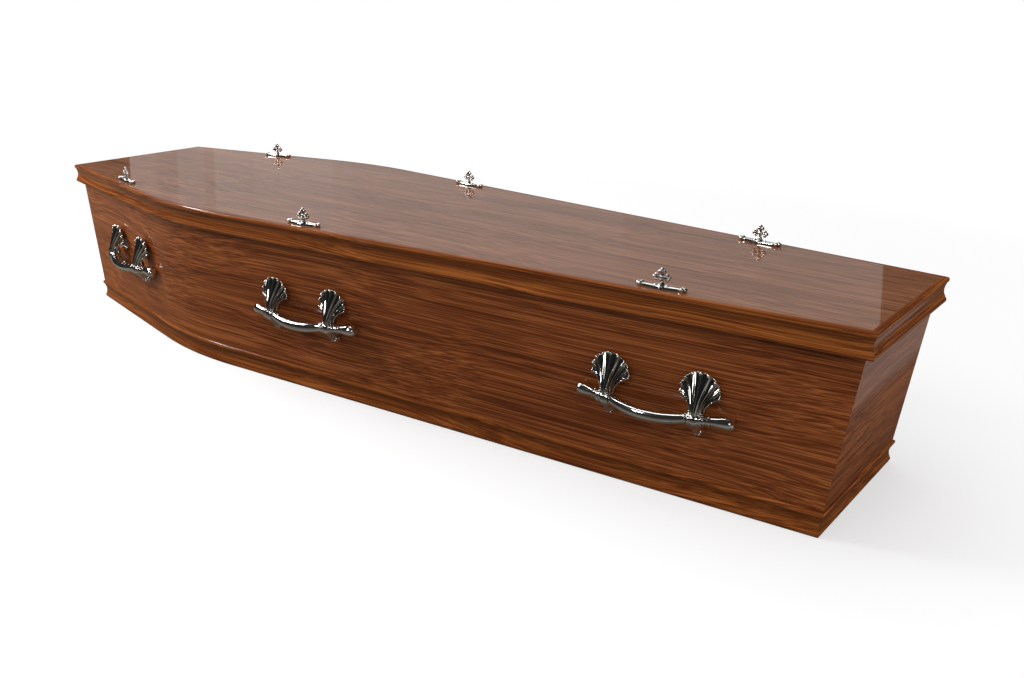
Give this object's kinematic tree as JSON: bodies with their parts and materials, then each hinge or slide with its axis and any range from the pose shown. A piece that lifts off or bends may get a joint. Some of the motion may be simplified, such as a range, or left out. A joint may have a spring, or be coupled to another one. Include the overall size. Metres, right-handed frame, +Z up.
{
  "type": "wooden coffin",
  "caption": "Shouldered wooden coffin with a flat moulded lid, moulded base, bar handles on scallop-shell plates and cross-shaped lid screws.",
  "frame": {"origin": "on the ground under the middle of the lid", "axes": "+X towards the foot end, -X towards the head end, -Y towards the side the picture shows, +Z up"},
  "size_m": [2, 0.5908, 0.3683],
  "materials": {
    "gloss_veneer": "gloss lacquered reddish-brown veneer",
    "gloss_lid_veneer": "high-gloss lacquered dark brown veneer",
    "gloss_moulding": "gloss lacquered orange-brown hardwood",
    "plain_board": "plain unpolished board",
    "polished_nickel": "polished nickel plate"
  },
  "bodies": {
    "root": {"base_board": "plain_board", "plinth_near_side": "gloss_moulding", "plinth_foot": "gloss_moulding", "plinth_far_side": "gloss_moulding", "plinth_head": "gloss_moulding", "near_side_board": "gloss_veneer", "far_side_board": "gloss_veneer", "head_board": "gloss_veneer", "foot_board": "gloss_veneer", "lid_board": "gloss_lid_veneer", "lid_moulding_near_side": "gloss_moulding", "lid_moulding_foot": "gloss_moulding", "lid_moulding_far_side": "gloss_moulding", "lid_moulding_head": "gloss_moulding", "near_head_handle_bar": "polished_nickel", "near_head_handle_shell_left": "polished_nickel", "near_head_handle_shell_right": "polished_nickel", "near_head_lid_screw_plate": "polished_nickel", "near_head_lid_screw_cross": "polished_nickel", "near_middle_handle_bar": "polished_nickel", "near_middle_handle_shell_left": "polished_nickel", "near_middle_handle_shell_right": "polished_nickel", "near_middle_lid_screw_plate": "polished_nickel", "near_middle_lid_screw_cross": "polished_nickel", "near_foot_handle_bar": "polished_nickel", "near_foot_handle_shell_left": "polished_nickel", "near_foot_handle_shell_right": "polished_nickel", "near_foot_lid_screw_plate": "polished_nickel", "near_foot_lid_screw_cross": "polished_nickel", "far_head_handle_bar": "polished_nickel", "far_head_handle_shell_left": "polished_nickel", "far_head_handle_shell_right": "polished_nickel", "far_head_lid_screw_plate": "polished_nickel", "far_head_lid_screw_cross": "polished_nickel", "far_middle_handle_bar": "polished_nickel", "far_middle_handle_shell_left": "polished_nickel", "far_middle_handle_shell_right": "polished_nickel", "far_middle_lid_screw_plate": "polished_nickel", "far_middle_lid_screw_cross": "polished_nickel", "far_foot_handle_bar": "polished_nickel", "far_foot_handle_shell_left": "polished_nickel", "far_foot_handle_shell_right": "polished_nickel", "far_foot_lid_screw_plate": "polished_nickel", "far_foot_lid_screw_cross": "polished_nickel"}
  },
  "joints": []
}
